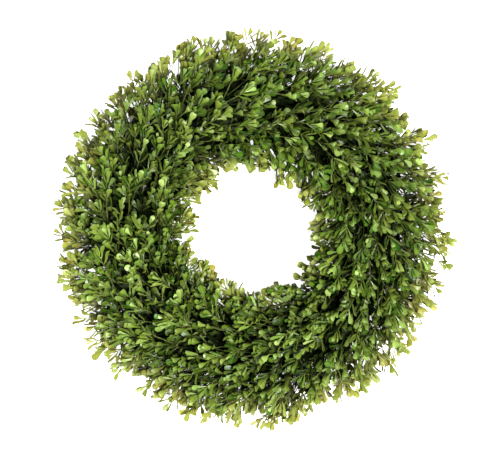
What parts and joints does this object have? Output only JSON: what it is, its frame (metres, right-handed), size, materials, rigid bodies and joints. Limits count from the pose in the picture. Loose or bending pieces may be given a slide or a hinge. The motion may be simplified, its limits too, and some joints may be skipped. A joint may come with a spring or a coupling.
{
  "type": "boxwood_wreath",
  "caption": "Round boxwood wreath: leafy bunches tied in overlapping order on a round two-wire frame, swirled clockwise, with an open middle.",
  "frame": {"origin": "centre of the wreath's hole, on the ground under its back", "axes": "+Z from the back towards the front of the wreath, which is its shortest extent; +Y towards the top of the wreath as it hangs in the picture; +X to the right in the picture"},
  "size_m": [0.5565, 0.5472, 0.119],
  "materials": {
    "boxwood_leaf": "waxy green leaves with a soft gloss on thin brown stems",
    "frame_wire": "dark green painted steel wire",
    "tie_wire": "thin green painted binding wire"
  },
  "bodies": {
    "root": {"boxwood_bunch_01": "boxwood_leaf", "boxwood_bunch_02": "boxwood_leaf", "boxwood_bunch_03": "boxwood_leaf", "boxwood_bunch_04": "boxwood_leaf", "boxwood_bunch_05": "boxwood_leaf", "boxwood_bunch_06": "boxwood_leaf", "boxwood_bunch_07": "boxwood_leaf", "boxwood_bunch_08": "boxwood_leaf", "boxwood_bunch_09": "boxwood_leaf", "boxwood_bunch_10": "boxwood_leaf", "boxwood_bunch_11": "boxwood_leaf", "boxwood_bunch_12": "boxwood_leaf", "boxwood_bunch_13": "boxwood_leaf", "boxwood_bunch_14": "boxwood_leaf", "bunch_tie_01": "tie_wire", "bunch_tie_02": "tie_wire", "bunch_tie_03": "tie_wire", "bunch_tie_04": "tie_wire", "bunch_tie_05": "tie_wire", "bunch_tie_06": "tie_wire", "bunch_tie_07": "tie_wire", "bunch_tie_08": "tie_wire", "bunch_tie_09": "tie_wire", "bunch_tie_10": "tie_wire", "bunch_tie_11": "tie_wire", "bunch_tie_12": "tie_wire", "bunch_tie_13": "tie_wire", "bunch_tie_14": "tie_wire", "frame_bar_1": "frame_wire", "frame_bar_2": "frame_wire", "frame_bar_3": "frame_wire", "frame_bar_4": "frame_wire", "frame_bar_5": "frame_wire", "frame_bar_6": "frame_wire", "frame_bar_7": "frame_wire", "frame_inner_rail": "frame_wire", "frame_outer_rail": "frame_wire"}
  },
  "joints": []
}
